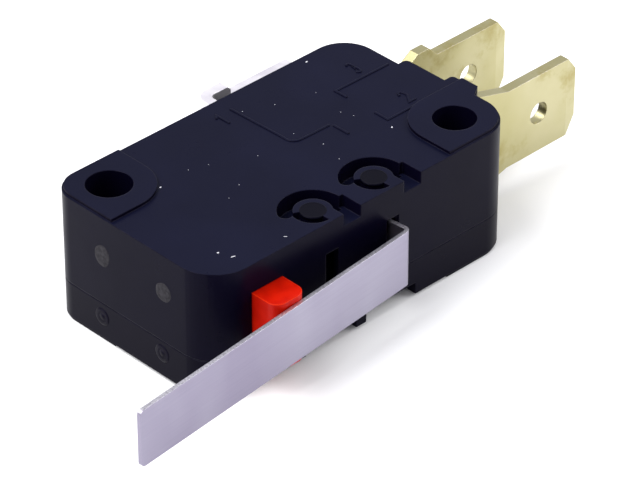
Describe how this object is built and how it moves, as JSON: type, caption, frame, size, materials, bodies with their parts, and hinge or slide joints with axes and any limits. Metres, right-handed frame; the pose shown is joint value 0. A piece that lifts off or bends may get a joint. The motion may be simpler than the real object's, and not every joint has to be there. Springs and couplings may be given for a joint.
{
  "type": "lever micro switch",
  "caption": "Miniature snap-action switch with a long hinged lever over its plunger, a flat black moulded body with mounting holes, and quick-connect tabs.",
  "frame": {"origin": "centre of the rear-left mounting hole, on the cover's mounting plane", "axes": "+X along the body towards the free ends of the tabs, +Y away from the plunger and lever, +Z through the thickness of the body, away from the cover"},
  "size_m": [0.0494, 0.0225, 0.0103],
  "materials": {
    "body_black": "satin moulded, semi-gloss",
    "cover_black": "satin moulded, semi-gloss",
    "lever_steel": "satin rolled strip with bright cut edges",
    "plunger_red": "smooth moulded",
    "common_plated": "bright plated strip",
    "tab_brass": "rolled brass, lightly tarnished",
    "contact_silver": "silver alloy",
    "arm_copper": "copper alloy strip",
    "spring_steel": "drawn wire"
  },
  "bodies": {
    "body": {"case": "body_black", "cover": "cover_black", "com_terminal": "common_plated", "nc_terminal": "tab_brass", "no_terminal": "tab_brass", "nc_contact": "contact_silver", "no_contact": "contact_silver", "return_spring": "spring_steel"},
    "lever": {"lever": "lever_steel"},
    "plunger": {"plunger": "plunger_red"},
    "snap_arm": {"moving_arm": "arm_copper", "moving_contact": "contact_silver", "snap_spring": "spring_steel"}
  },
  "joints": [
    {"name": "lever_hinge", "type": "hinge", "parent": "body", "child": "lever", "pos_m": [0.01345, -0.01134, 0.00515], "axis": [0, 0, -1], "range_deg": [0, 9], "stiffness_Nm_per_rad": 0.06, "springref_deg": -6.88},
    {"name": "plunger_slide", "type": "slide", "parent": "body", "child": "plunger", "axis": [0, 1, 0], "range_m": [0, 0.0018], "deforming": ["return_spring"]},
    {"name": "arm_rock", "type": "hinge", "parent": "body", "child": "snap_arm", "pos_m": [0.00555, -0.005, 0.00515], "axis": [0, 0, 1], "range_deg": [0, 4.16], "deforming": ["snap_spring"]}
  ],
  "couplings": [
    {"joint": "plunger_slide", "follows": "lever_hinge", "m_per_rad": 0.01145},
    {"joint": "arm_rock", "follows": "lever_hinge", "ratio": 0.46}
  ]
}
